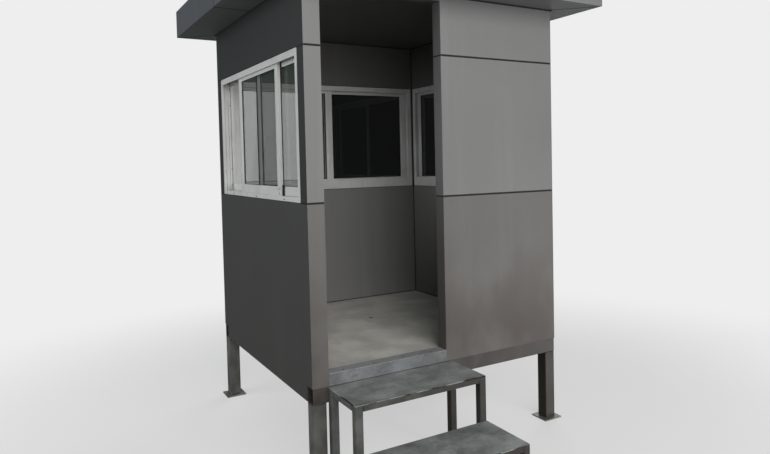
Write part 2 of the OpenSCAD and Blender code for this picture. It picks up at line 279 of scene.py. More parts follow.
@dataclass(frozen=True)
class CompositeSheet(Finish):
    """Satin metallic coating of the composite sheets, with dust and rain marks, and with painted shade:
    colours that change below the sill level and at the fascia's ends.
    """

    colour: Colour
    low_tier_shade_and_dirt: Colour | None = None
    low_level: float = 1.765
    end_shade_colour: Colour | None = None
    end_x: float = 1.2675
    dirt: Colour = (0.085, 0.066, 0.052)
    dirt_top: float = 1.60
    dirt_bottom: float = 0.55
    dirt_share: float = 0.55
    roughness: float = 0.55

    def paint(self, graph: Graph) -> None:
        """Cloudy tone, fine flakes, streaks that run down, and splash dirt low down, over a sheet colour that
        carries painted shade by tier and at the fascia's ends.
        """
        cloud = graph.noise(1.3, 2.0)
        streaks = graph.noise(9.0, 4.0, (1.0, 1.0, 0.06), 3.0)
        flakes = graph.cells(900.0)
        tone = (cloud - 0.5) * 0.30 + (flakes - 0.5) * 0.08
        # Painted shade: the sheet takes one colour above the sill level and another below it, for shade that
        # falls unevenly on the two tiers; on the front sheets the darker lower colour is partly dirt as well.
        tier = graph.z.rise(self.low_level, self.low_level - 0.003)
        sheet = graph.mix(tier, self.colour, self.low_tier_shade_and_dirt or self.colour)
        # Painted shade: past end_x, on the fascia's side boards, the sheet turns darker for the sides turned
        # away from the light.
        ends = abs(graph.x).rise(self.end_x - 0.001, self.end_x)
        sheet = graph.mix(ends, sheet, self.end_shade_colour) if self.end_shade_colour else sheet
        shade = (tone + 0.5).rise(0.0, 1.0) * 0.4 + 0.8
        toned, pale = graph.scaled(sheet, shade), graph.scaled(sheet, 1.3)
        dusty = graph.mix(streaks.rise(0.52, 0.72) * 0.22, toned, pale)
        low = graph.z.rise(self.dirt_top, self.dirt_bottom)
        patches = graph.noise(2.2, 4.0, (1.0, 1.0, 0.7), 7.0).rise(0.25, 0.60)
        dirty = graph.mix(low * patches * self.dirt_share, dusty, self.dirt)
        rough = self.roughness + (cloud - 0.5) * 0.16 + low * 0.10
        graph.set(Base_Color=dirty, Metallic=0.12, Roughness=rough, Specular_IOR_Level=0.35,
                  Normal=graph.bump(graph.noise(1.8, 1.0, shift=11.0), 0.004, 0.5))


@dataclass(frozen=True)
class PaintedSteel(Finish):
    """Dull grey steel, scuffed and stained, with rust where water stands, and painted shade that darkens it
    towards the right.
    """

    colour: Colour
    rust_share: float = 0.35
    right_shade_from: float = -0.6
    right_shade_to: float = 0.9
    right_shade_share: float = 0.70
    roughness: float = 0.55

    def paint(self, graph: Graph) -> None:
        """Blotchy paint, drips, and rust in patches low down."""
        blotch = graph.noise(7.0, 5.0)
        drips = graph.noise(22.0, 3.0, (1.0, 1.0, 0.12), 5.0)
        paint = graph.shades(blotch.rise(0.32, 0.68), self.colour, 0.70, 1.30)
        # Painted shade: the paint turns dark brown towards the right, for the shade on the steel beneath the
        # booth and the steps.
        side = graph.x.rise(self.right_shade_from, self.right_shade_to) * self.right_shade_share
        right_shaded = graph.mix(side, paint, (0.026, 0.023, 0.018))
        stained = graph.mix(drips.rise(0.54, 0.70) * 0.45, right_shaded, grey(0.035, 0.12))
        spots = graph.noise(34.0, 6.0, shift=9.0)
        feet = graph.z.rise(0.16, 0.0) * 0.05
        rust = (spots + feet).rise(0.60, 0.68) * self.rust_share
        rusty = graph.mix(rust, stained, (0.080, 0.034, 0.016))
        rough = self.roughness + (blotch - 0.5) * 0.3 + rust * 0.3
        graph.set(Base_Color=rusty, Metallic=0.20 - rust * 0.2, Roughness=rough,
                  Normal=graph.bump(spots + blotch * 0.5, 0.0012, 0.5))


@dataclass(frozen=True)
class Galvanised(Finish):
    """Zinc-coated sheet steel with spangle, foot traffic and dark worn edges; a top face can be painted
    lighter as painted light.
    """

    colour: Colour
    low: tuple[float, float, float] = (0.0, 0.0, 0.0)
    high: tuple[float, float, float] = (0.0, 0.0, 0.0)
    worn_edge: float = 0.0
    metallic: float = 0.35
    lit_top_level: float = 100.0
    lit_top_colour: Colour = (0.46, 0.475, 0.475)

    def paint(self, graph: Graph) -> None:
        """Spangle and mottling, a top face painted lighter as painted light, then black wear along the front
        and end edges.
        """
        spangle = graph.cells(55.0)
        mottle = graph.noise(6.5, 6.0)
        marks = graph.noise(38.0, 4.0, (0.35, 1.0, 1.0), 4.0)
        tone = spangle * 0.28 + mottle.rise(0.30, 0.70) * 0.72
        zinc = graph.shades(tone, self.colour, 0.66, 1.34)
        # Painted light: faces above the given level take a much lighter colour than the rest of the zinc.
        top = graph.z.rise(self.lit_top_level - 0.0016, self.lit_top_level - 0.0008)
        zinc = graph.mix(top, zinc, self.lit_top_colour)
        stains = graph.noise(2.2, 3.0, shift=6.0).rise(0.52, 0.70)
        stained = graph.mix(stains * 0.35, zinc, grey(0.10, 0.10))
        scuffed = graph.mix(marks.rise(0.60, 0.70) * 0.30, stained, grey(0.035))
        if self.worn_edge > 0:
            ends = (graph.x - self.low[0]).least(self.high[0] - graph.x)
            near = (graph.y - self.low[1]).least(ends + self.worn_edge * 0.2).rise(self.worn_edge, 0.0)
            wear = (near * 0.50 + graph.noise(6.0, 6.0, (0.8, 1.0, 1.0), 8.0)).rise(0.93, 1.02)
            scuffed = graph.mix(wear, scuffed, grey(0.010))
        graph.set(Base_Color=scuffed, Metallic=self.metallic, Roughness=0.50 + (mottle - 0.5) * 0.35,
                  Normal=graph.bump(mottle + marks * 0.4, 0.0010, 0.5))


@dataclass(frozen=True)
class CoatedAluminium(Finish):
    """White powder-coated window bars, a little grimy."""

    colour: Colour

    def paint(self, graph: Graph) -> None:
        """Faint grime in clouds and down-streaks, with a fine orange-peel bump."""
        grime = graph.noise(5.0, 4.0)
        streaks = graph.noise(30.0, 3.0, (1.0, 1.0, 0.10), 2.0)
        dirty = graph.mix(grime.rise(0.45, 0.75) * 0.30, self.colour, grey(0.34, 0.04))
        lined = graph.mix(streaks.rise(0.58, 0.72) * 0.22, dirty, grey(0.22, 0.05))
        graph.set(Base_Color=lined, Roughness=0.34 + (grime - 0.5) * 0.25, Specular_IOR_Level=0.5,
                  Normal=graph.bump(graph.noise(260.0, 2.0), 0.0002, 0.4))


@dataclass(frozen=True)
class TintedGlass(Finish):
    """Tinted glass that mirrors at a low angle."""

    opacity: float
    tint: Colour

    def paint(self, graph: Graph) -> None:
        """A dark tint with a thin, uneven film of dust."""
        dust = graph.noise(3.0, 5.0, (1.0, 1.0, 0.5)).rise(0.50, 0.80)
        graph.set(Base_Color=graph.mix(dust * 0.10, self.tint, grey(0.10)), Roughness=0.02 + dust * 0.06,
                  IOR=1.52, Alpha=self.opacity, Specular_IOR_Level=0.5)


@dataclass(frozen=True)
class BlackRubber(Finish):
    """Sealant, gaskets, brushes and other black filling."""

    colour: Colour = (0.006, 0.006, 0.007)

    def paint(self, graph: Graph) -> None:
        """Matt black with a little dust."""
        dust = graph.noise(14.0, 4.0).rise(0.50, 0.75)
        graph.set(Base_Color=graph.mix(dust * 0.25, self.colour, grey(0.030, 0.04)),
                  Roughness=0.75 + dust * 0.15, Normal=graph.bump(graph.noise(120.0, 3.0), 0.0004, 0.5))


@dataclass(frozen=True)
class FloorBoard(Finish):
    """Pale smooth board, scuffed and stained by shoes."""

    colour: Colour
    spot: tuple[float, float]

    def paint(self, graph: Graph) -> None:
        """Soft stains, thin scratches and one dark spot."""
        stain = graph.noise(3.2, 6.0)
        fibres = graph.noise(60.0, 3.0, (0.15, 1.0, 1.0), 5.0)
        board = graph.shades(stain.rise(0.34, 0.66), self.colour, 0.84, 1.10)
        lined = graph.mix(fibres.rise(0.56, 0.74) * 0.12, board, grey(0.30, 0.10))
        scuffs = graph.noise(11.0, 5.0, (1.0, 0.4, 1.0), 9.0).rise(0.62, 0.72)
        scuffed = graph.mix(scuffs * 0.16, lined, grey(0.16, 0.08))
        reach = abs(graph.x - self.spot[0]).most(abs(graph.y - self.spot[1]) * 0.6)
        spotted = graph.mix((reach + stain * 0.02).rise(0.030, 0.014) * 0.8, scuffed, grey(0.05, 0.1))
        graph.set(Base_Color=spotted, Roughness=0.58 + (stain - 0.5) * 0.3,
                  Normal=graph.bump(fibres + stain * 0.5, 0.0006, 0.4))


@dataclass(frozen=True)
class RoofSheet(Finish):
    """Weathered grey roof sheet with puddle rings and grit."""

    colour: Colour

    def paint(self, graph: Graph) -> None:
        """Large pale puddle marks over a gritty grey."""
        puddles = abs(graph.noise(1.7, 3.0) - 0.5)
        grit = graph.noise(75.0, 4.0, shift=3.0)
        base = graph.shades(grit.rise(0.35, 0.65), self.colour, 0.82, 1.15)
        ringed = graph.mix(puddles.rise(0.035, 0.0) * 0.40, base, grey(0.34, 0.05))
        graph.set(Base_Color=ringed, Metallic=0.25, Roughness=0.55 + (grit - 0.5) * 0.3,
                  Normal=graph.bump(grit, 0.0008, 0.5))


@dataclass(frozen=True)
class PlainSteel(Finish):
    """Bright zinc of screws and weld metal."""

    colour: Colour = (0.22, 0.22, 0.21)
    roughness: float = 0.45

    def paint(self, graph: Graph) -> None:
        """Slightly uneven metal."""
        uneven = graph.noise(90.0, 3.0)
        tone = graph.shades(uneven.rise(0.30, 0.70), self.colour, 0.55, 1.0)
        graph.set(Base_Color=tone, Metallic=0.8, Roughness=self.roughness + (uneven - 0.5) * 0.3)


@lru_cache(maxsize=None)
def material(finish: Finish) -> bpy.types.Material:
    """The one material of a finish."""
    graph = Graph(finish.name)
    finish.paint(graph)
    return graph.material


# Front sheets: the darker colour of the lower tier and the heavy dirt low down stand for dirt together with
# painted shade from less light off the ground.
SHEET_LIGHT = CompositeSheet("composite_sheet_front", Slot.PANEL_LIGHT, grey(0.216), (0.160, 0.157, 0.150),
                             dirt=(0.072, 0.057, 0.050), dirt_top=1.78, dirt_share=0.80)
# Side sheets: the front sheets' coating painted much darker as painted shade on the sides turned away from
# the light, and darker still above the sill level as painted shadow of the roof's overhang.
SHEET_SIDE_SHADED = CompositeSheet("composite_sheet_side_painted_shade", Slot.PANEL_DARK, grey(0.026, -0.03), grey(0.054, 0.01),
                            dirt_share=0.12)
# Inner sheets: the upper tier, ceiling included, is painted darker than the lower as painted shade high in
# the cabin, where little light reaches.
SHEET_INNER = CompositeSheet("composite_sheet_inner", Slot.PANEL_DARK, (0.135, 0.133, 0.128),
                             (0.215, 0.215, 0.208), dirt_share=0.06)
# Fascia: its side boards take a darker colour as painted shade.
SHEET_FASCIA = CompositeSheet("composite_sheet_fascia", Slot.PANEL_LIGHT, (0.225, 0.232, 0.236),
                              end_shade_colour=(0.080, 0.089, 0.100))
SHEET_SOFFIT = CompositeSheet("composite_sheet_soffit", Slot.PANEL_DARK, (0.190, 0.192, 0.190),
                              dirt_share=0.0)
# Steel finishes: all but the plates turn darker towards the right as painted shade.
FRAME_STEEL = PaintedSteel("frame_steel", Slot.STEEL, (0.112, 0.112, 0.104), 0.30, right_shade_to=0.80,
                           right_shade_share=1.0)
STEP_STEEL = PaintedSteel("step_steel", Slot.STEEL, (0.096, 0.100, 0.094), 0.50, -0.95, 0.00, 0.85)
PLATE_STEEL = PaintedSteel("plate_steel", Slot.STEEL, (0.21, 0.205, 0.195), 0.35, right_shade_share=0.0)
BEAM_STEEL = PaintedSteel("beam_steel", Slot.STEEL, (0.060, 0.053, 0.050), 0.40, right_shade_share=0.30)
STEP_ZINC = (0.37, 0.395, 0.388)
WHITE_BARS = CoatedAluminium("white_window_bars", Slot.WINDOW, (0.64, 0.65, 0.64))
GLASS_DARK = TintedGlass("glass_dark", Slot.GLASS, 0.93, (0.003, 0.004, 0.005))
GLASS_LIGHT = TintedGlass("glass_light", Slot.GLASS, 0.28, (0.030, 0.052, 0.040))
BLACK_SEAL = BlackRubber("black_sealant", Slot.INFILL)
BLACK_GASKET = BlackRubber("black_gasket", Slot.WINDOW)
ROOF_SHEET = RoofSheet("roof_sheet", Slot.ROOF, (0.34, 0.345, 0.35))
SCREW_ZINC = PlainSteel("screw_zinc", Slot.GALVANISED)
WELD_METAL = PlainSteel("weld_metal", Slot.STEEL, (0.10, 0.095, 0.085), 0.60)


# ------------------------------------------------------------------ shapes


class Shape:
    """One piece under construction: closed shells in one mesh."""

    def __init__(self) -> None:
        """Starts with an empty mesh."""
        self.mesh = bmesh.new()

    @classmethod
    def copy_of(cls, *nodes: str) -> "Shape":
        """The merged copy of CAD nodes, with flat faces in one piece each."""
        shape = cls()
        for node in nodes:
            shape.mesh.from_mesh(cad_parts[node].data)
        bmesh.ops.remove_doubles(shape.mesh, verts=shape.mesh.verts, dist=1e-5)
        bmesh.ops.dissolve_limit(shape.mesh, angle_limit=math.radians(1), verts=shape.mesh.verts,
                                 edges=shape.mesh.edges)
        return shape

    def round_edges(self, radius: float, segments: int = 2, edges: set | None = None) -> "Shape":
        """Bevels sharp edges.

        Args:
            radius: how far the bevel reaches on each face.
            segments: faces across it.
            edges: the edges to look through, or all.

        Returns:
            This shape.
        """
        sharp = [e for e in (self.mesh.edges if edges is None else edges)
                 if len(e.link_faces) == 2 and e.calc_face_angle() > math.radians(35)]
        bmesh.ops.bevel(self.mesh, geom=sharp, offset=radius, offset_type="OFFSET", affect="EDGES",
                        segments=segments, profile=0.5, material=-1, clamp_overlap=True)
        return self

    def block(self, low: Vector, high: Vector, radius: float = 0.0) -> "Shape":
        """Adds a box from its low to its high corner, with rounded edges."""
        low, high = Vector(low), Vector(high)
        verts = bmesh.ops.create_cube(self.mesh, size=1.0)["verts"]
        bmesh.ops.scale(self.mesh, vec=high - low, verts=verts)
        bmesh.ops.translate(self.mesh, vec=(low + high) / 2, verts=verts)
        if radius > 0:
            self.round_edges(radius, 2, {e for v in verts for e in v.link_edges})
        return self

    def bar(self, section: list[Vector], along: Vector, radius: float = 0.0) -> "Shape":
        """Adds an extruded bar.

        Args:
            section: corners of its flat end, in order.
            along: from that end to the other.
            radius: rounding of its edges.

        Returns:
            This shape.
        """
        verts = [self.mesh.verts.new(corner) for corner in section]
        end = self.mesh.faces.new(verts)
        pulled = bmesh.ops.extrude_face_region(self.mesh, geom=[end])["geom"]
        far = [v for v in pulled if isinstance(v, bmesh.types.BMVert)]
        bmesh.ops.translate(self.mesh, vec=along, verts=far)
        if radius > 0:
            self.round_edges(radius, 2, {e for v in verts + far for e in v.link_edges})
        return self

    def turned(self, profile: Outline, centre: Vector, axis: Vector, steps: int = 12) -> "Shape":
        """Adds a turned part, such as a screw head.

        Args:
            profile: points (radius, height), from pole to pole.
            centre: where its base stands.
            axis: the way it points.
            steps: faces around it.

        Returns:
            This shape.
        """
        verts = [self.mesh.verts.new((radius, 0.0, height)) for radius, height in profile]
        edges = [self.mesh.edges.new(pair) for pair in zip(verts, verts[1:])]
        bmesh.ops.spin(self.mesh, geom=verts + edges, cent=(0, 0, 0), axis=(0, 0, 1), dvec=(0, 0, 0),
                       angle=math.tau, steps=steps, use_merge=True, use_duplicate=False)
        made = self._shell(verts)
        bmesh.ops.remove_doubles(self.mesh, verts=made, dist=1e-6)
        made = [v for v in made if v.is_valid]
        turn = Vector((0, 0, 1)).rotation_difference(Vector(axis)).to_matrix()
        bmesh.ops.rotate(self.mesh, cent=(0, 0, 0), matrix=turn, verts=made)
        bmesh.ops.translate(self.mesh, vec=centre, verts=made)
        return self

    @staticmethod
    def _shell(seeds: list) -> list:
        """All vertices that hang together with the seeds."""
        found, queue = set(seeds), list(seeds)
        while queue:
            for edge in queue.pop().link_edges:
                for vert in edge.verts:
                    if vert not in found:
                        found.add(vert)
                        queue.append(vert)
        return list(found)

    def screw(self, centre: Vector, axis: Vector, radius: float = 0.005) -> "Shape":
        """Adds a pan head with a washer rim, sunk a little into its seat."""
        height = radius * 0.7
        profile = [(0, height), (radius * 0.55, height * 0.96), (radius * 0.9, height * 0.60),
                   (radius, height * 0.15), (radius * 1.25, height * 0.12), (radius * 1.25, -height * 0.3),
                   (0, -height * 0.3)]
        return self.turned(profile, centre, axis, 12)

    def weld(self, start: Vector, end: Vector, radius: float = 0.004) -> "Shape":
        """Adds a rippled weld bead along a straight seam."""
        start, end = Vector(start), Vector(end)
        run = end - start
        count = max(3, round(run.length / (radius * 1.6)))
        turn = Vector((0, 0, 1)).rotation_difference(run).to_matrix().to_4x4()
        ring = bmesh.ops.create_circle(self.mesh, cap_ends=True, radius=radius * 0.6, segments=6,
                                       matrix=Matrix.Translation(start) @ turn)["verts"]
        face = next(f for f in ring[0].link_faces)
        for step in range(1, count + 1):
            pulled = bmesh.ops.extrude_face_region(self.mesh, geom=[face])["geom"]
            face = next(f for f in pulled if isinstance(f, bmesh.types.BMFace))
            verts = list(face.verts)
            swell = 0.6 if step == count else (1.0 if step % 2 else 0.82)
            last = 0.6 if step == 1 else (1.0 if (step - 1) % 2 else 0.82)
            centre = start + run * (step / count)
            bmesh.ops.translate(self.mesh, vec=run / count, verts=verts)
            bmesh.ops.scale(self.mesh, vec=Vector((swell / last,) * 3), space=Matrix.Translation(-centre),
                            verts=verts)
        return self

    def placed(self, matrix: Matrix) -> "Shape":
        """Moves the whole shape from a wall's frame to the booth's."""
        bmesh.ops.transform(self.mesh, matrix=matrix, verts=self.mesh.verts)
        return self

    def absorb(self, other: "Shape") -> "Shape":
        """Takes another shape's shells into this one."""
        data = bpy.data.meshes.new("shells")
        other.mesh.to_mesh(data)
        other.mesh.free()
        self.mesh.from_mesh(data)
        bpy.data.meshes.remove(data)
        return self

    def made(self, name: str, finish: Finish, *replaced: str) -> bpy.types.Object:
        """Turns the shape into a piece of the booth.

        Args:
            name: the piece's name.
            finish: its finish.
            replaced: CAD nodes that it stands for.

        Returns:
            The new object, riding on the booth.
        """
        bmesh.ops.recalc_face_normals(self.mesh, faces=self.mesh.faces)
        data = bpy.data.meshes.new(name)
        self.mesh.to_mesh(data)
        self.mesh.free()
        data.materials.append(material(finish))
        piece = bpy.data.objects.new(name, data)
        bpy.context.scene.collection.objects.link(piece)
        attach(piece, "root")
        if replaced:
            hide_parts(*replaced)
        LOG.info("%s: %d faces", name, len(data.polygons))
        return piece


def dress(finish: Finish, *nodes: str) -> None:
    """Gives CAD nodes that stay a finish."""
    for node in nodes:
        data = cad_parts[node].data
        data.materials.clear()
        data.materials.append(material(finish))


def rounded(node: str, radius: float, name: str, finish: Finish) -> None:
    """Puts a copy of a CAD node with rounded edges in its place."""
    Shape.copy_of(node).round_edges(radius).made(name, finish, node)


# ------------------------------------------------------------------- cabin


@dataclass(frozen=True)
class Cabin:
    """Faces and levels of the cabin, read from its frame."""

    left: float
    right: float
    front: float
    back: float
    base: float
    floor: float
    sill: float
    head: float
    soffit: float
    deck: float
    top: float
    sheet: float = 0.003
    joint: float = 0.008
    wall: float = 0.096
    pillar: float = 0.112

    @classmethod
    def measured(cls) -> "Cabin":
        """Reads the faces and levels from the CAD nodes."""
        low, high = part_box("left_cladding")
        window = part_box("left_window_frame")
        return cls(left=low.x, right=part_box("right_cladding")[1].x, front=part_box("front_cladding")[0].y,
                   back=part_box("back_cladding")[1].y, base=low.z,
                   floor=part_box("floor_deck")[1].z, sill=window[0].z, head=window[1].z, soffit=high.z,
                   deck=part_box("roof_deck")[1].z, top=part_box("fascia")[1].z)

    def length(self, side: Side) -> float:
        """Length of a side."""
        return self.right - self.left if side in (Side.FRONT, Side.BACK) else self.back - self.front

    def wall_frame(self, side: Side) -> Matrix:
        """From (along the wall, inwards from its face, up) to the booth's frame."""
        along_x, along_y = (1, 0, 0), (0, 1, 0)
        rows = {
            Side.LEFT: ((along_y, self.left), (along_x, self.front)),
            Side.RIGHT: (((0, -1, 0), self.right), (along_x, self.front)),
            Side.BACK: ((along_x, self.left), ((0, -1, 0), self.back)),
            Side.FRONT: ((along_x, self.left), (along_y, self.front)),
        }[side]
        (row_x, start_x), (row_y, start_y) = rows
        return Matrix(((*row_x, start_x), (*row_y, start_y), (0, 0, 1, 0), (0, 0, 0, 1)))


@dataclass
class SteelBase:
    """Legs, plates, base beams, joists and corner posts."""

    cabin: Cabin
    plate_edge: float = 0.0012
    beam_edge: float = 0.002
    weld_radius: float = 0.0045

    def build(self) -> None:
        """Dresses the frame and adds its welds."""
        legs = ("leg_front_left", "leg_front_right", "leg_back_left", "leg_back_right")
        beams = ("base_beam_front", "base_beam_back", "base_beam_left", "base_beam_right")
        dress(FRAME_STEEL, *legs, "floor_joists", "corner_posts")
        rounded("base_plates", self.plate_edge, "foot_plates", PLATE_STEEL)
        for beam in beams:
            rounded(beam, self.beam_edge, beam + "_tube", BEAM_STEEL)
        self.leg_welds(legs)
        self.beam_welds()

    def leg_welds(self, legs: tuple[str, ...]) -> None:
        """Beads round the foot and the head of each leg."""
        beads = Shape()
        inset = 0.008
        for leg in legs:
            low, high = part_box(leg)
            for level in (low.z + self.weld_radius * 0.4, high.z - self.weld_radius * 0.4):
                for y in (low.y, high.y):
                    beads.weld((low.x + inset, y, level), (high.x - inset, y, level), self.weld_radius)
                for x in (low.x, high.x):
                    beads.weld((x, low.y + inset, level), (x, high.y - inset, level), self.weld_radius)
        beads.made("leg_welds", WELD_METAL)

    def beam_welds(self) -> None:
        """Upright beads where the side beams meet the front and back beams."""
        beads = Shape()
        inset = 0.006
        for beam in ("base_beam_left", "base_beam_right"):
            low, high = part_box(beam)
            for x in (low.x, high.x):
                for y in (low.y, high.y):
                    beads.weld((x, y, low.z + inset), (x, y, high.z - inset), self.weld_radius * 0.8)
        beads.made("beam_welds", WELD_METAL)


@dataclass
class FloorPart:
    """The floor board and the seal round its edge."""

    cabin: Cabin
    seal: float = 0.006

    def build(self) -> None:
        """Dresses the board and lays the seal along the inner walls."""
        cabin = self.cabin
        spot = (cabin.left + 1.00, cabin.front + 1.15)
        board = FloorBoard("floor_board_finish", Slot.FLOOR, (0.80, 0.79, 0.735), spot)
        dress(board, "floor_deck")
        seal = Shape()
        inner = cabin.wall
        for side in (Side.LEFT, Side.RIGHT, Side.BACK):
            length = cabin.length(side)
            strip = Shape()
            section = [Vector((inner, inner, cabin.floor)), Vector((inner, inner + self.seal, cabin.floor)),
                       Vector((inner, inner, cabin.floor + self.seal))]
            strip.bar(section, Vector((length - 2 * inner, 0, 0)))
            strip.placed(cabin.wall_frame(side))
            seal.absorb(strip)
        seal.made("floor_edge_seal", BLACK_SEAL)


@dataclass
class WallSheets:
    """Composite sheets outside and inside, with the seals in their joints."""

    cabin: Cabin
    fold: float = 0.0011
    seal_lap: float = 0.0025
    seal_proud: float = 0.0005
    seal_skin: float = 0.0004
    seal_edge: float = 0.0002
    corner_joint: float = 0.005

    def build(self) -> None:
        """Folds the sheets' edges and fills the joints."""
        for side in Side:
            # The side walls take the side sheets' colour, which is painted shade.
            outer = SHEET_SIDE_SHADED if side in (Side.LEFT, Side.RIGHT) else SHEET_LIGHT
            rounded(side.value + "_cladding", self.fold, side.value + "_outer_sheets", outer)
            rounded(side.value + "_lining", self.fold, side.value + "_inner_sheets", SHEET_INNER)
            dress(BLACK_SEAL, side.value + "_wall")
        rounded("front_corner_cladding", self.fold, "front_corner_sheets", SHEET_LIGHT)
        self.joint_seals()
        self.inner_seals()

    def joint_seals(self) -> None:
        """Black sealant in the level joints of the outer sheets, lapped over their edges."""
        cabin = self.cabin
        seals = Shape()
        half = cabin.joint / 2 + self.seal_lap
        fill = cabin.joint / 2 - self.seal_edge
        for side in Side:
            length = cabin.length(side)
            runs = [(cabin.sheet, cabin.pillar), (length - cabin.pillar, length - cabin.sheet)]
            if side is Side.FRONT:
                door_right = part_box("front_cladding")[0].x - cabin.left
                runs = [(cabin.sheet, cabin.pillar - cabin.sheet),
                        (door_right + cabin.sheet, length - cabin.sheet)]
            for start, end in runs:
                for level in (cabin.sill, cabin.head):
                    strip = Shape().block((start, -self.seal_proud, level - half),
                                          (end, self.seal_skin, level + half), self.seal_edge)
                    strip.block((start, self.seal_skin, level - fill),
                                (end, cabin.sheet - self.seal_edge, level + fill), self.seal_edge)
                    seals.absorb(strip.placed(cabin.wall_frame(side)))
        seals.made("outer_joint_seals", BLACK_SEAL)

    def inner_seals(self) -> None:
        """Black strips in the inner corners and under the ceiling."""
        cabin = self.cabin
        seals = Shape()
        inner = cabin.wall
        proud = 0.002
        for side in (Side.LEFT, Side.RIGHT, Side.BACK):
            length = cabin.length(side)
            matrix = cabin.wall_frame(side)
            top = Shape().block((inner, inner - 0.0005, cabin.soffit - cabin.joint),
                                (length - inner, inner + proud, cabin.soffit), 0.0005)
            seals.absorb(top.placed(matrix))
        lap, joint = 0.001, self.corner_joint
        for x, way_x in ((cabin.left + inner, 1), (cabin.right - inner, -1)):
            for y, way_y in ((cabin.front + inner, 1), (cabin.back - inner, -1)):
                low_x, high_x = sorted((x - way_x * lap, x + way_x * joint))
                low_y, high_y = sorted((y - way_y * lap, y + way_y * joint))
                seals.block((low_x, low_y, cabin.floor), (high_x, high_y, cabin.soffit), lap)
        seals.made("inner_joint_seals", BLACK_SEAL)


@dataclass
class Doorway:
    """The strip under the doorway and the rail over it."""

    cabin: Cabin
    fold: float = 0.0012
    screw_pitch: float = 0.20

    def build(self) -> None:
        """Folds the strip, screws it down and dresses the rail."""
        # Painted light: the strip's top face is painted much lighter than its front.
        zinc = Galvanised("sill_zinc", Slot.GALVANISED, (0.160, 0.170, 0.178), metallic=0.15,
                          lit_top_level=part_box("door_sill")[1].z)
        rounded("door_sill", self.fold, "door_sill_strip", zinc)
        rounded("door_head", self.fold, "door_head_rail", SHEET_INNER)
        low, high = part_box("door_sill")
        screws = Shape()
        count = round((high.x - low.x) / self.screw_pitch)
        for i in range(count):
            x = low.x + (i + 0.5) * (high.x - low.x) / count
            screws.screw(Vector((x, low.y + 0.030, high.z)), Vector((0, 0, 1)), 0.0045)
        screws.made("door_sill_screws", SCREW_ZINC)
        hem = Shape()
        edge, proud, drop = 0.001, 0.0022, 0.013
        hem.block((low.x + edge, low.y - proud, high.z - drop), (high.x - edge, low.y, high.z - edge), edge)
        hem.made("door_sill_hem", zinc)


# ----------------------------------------------------------------- windows


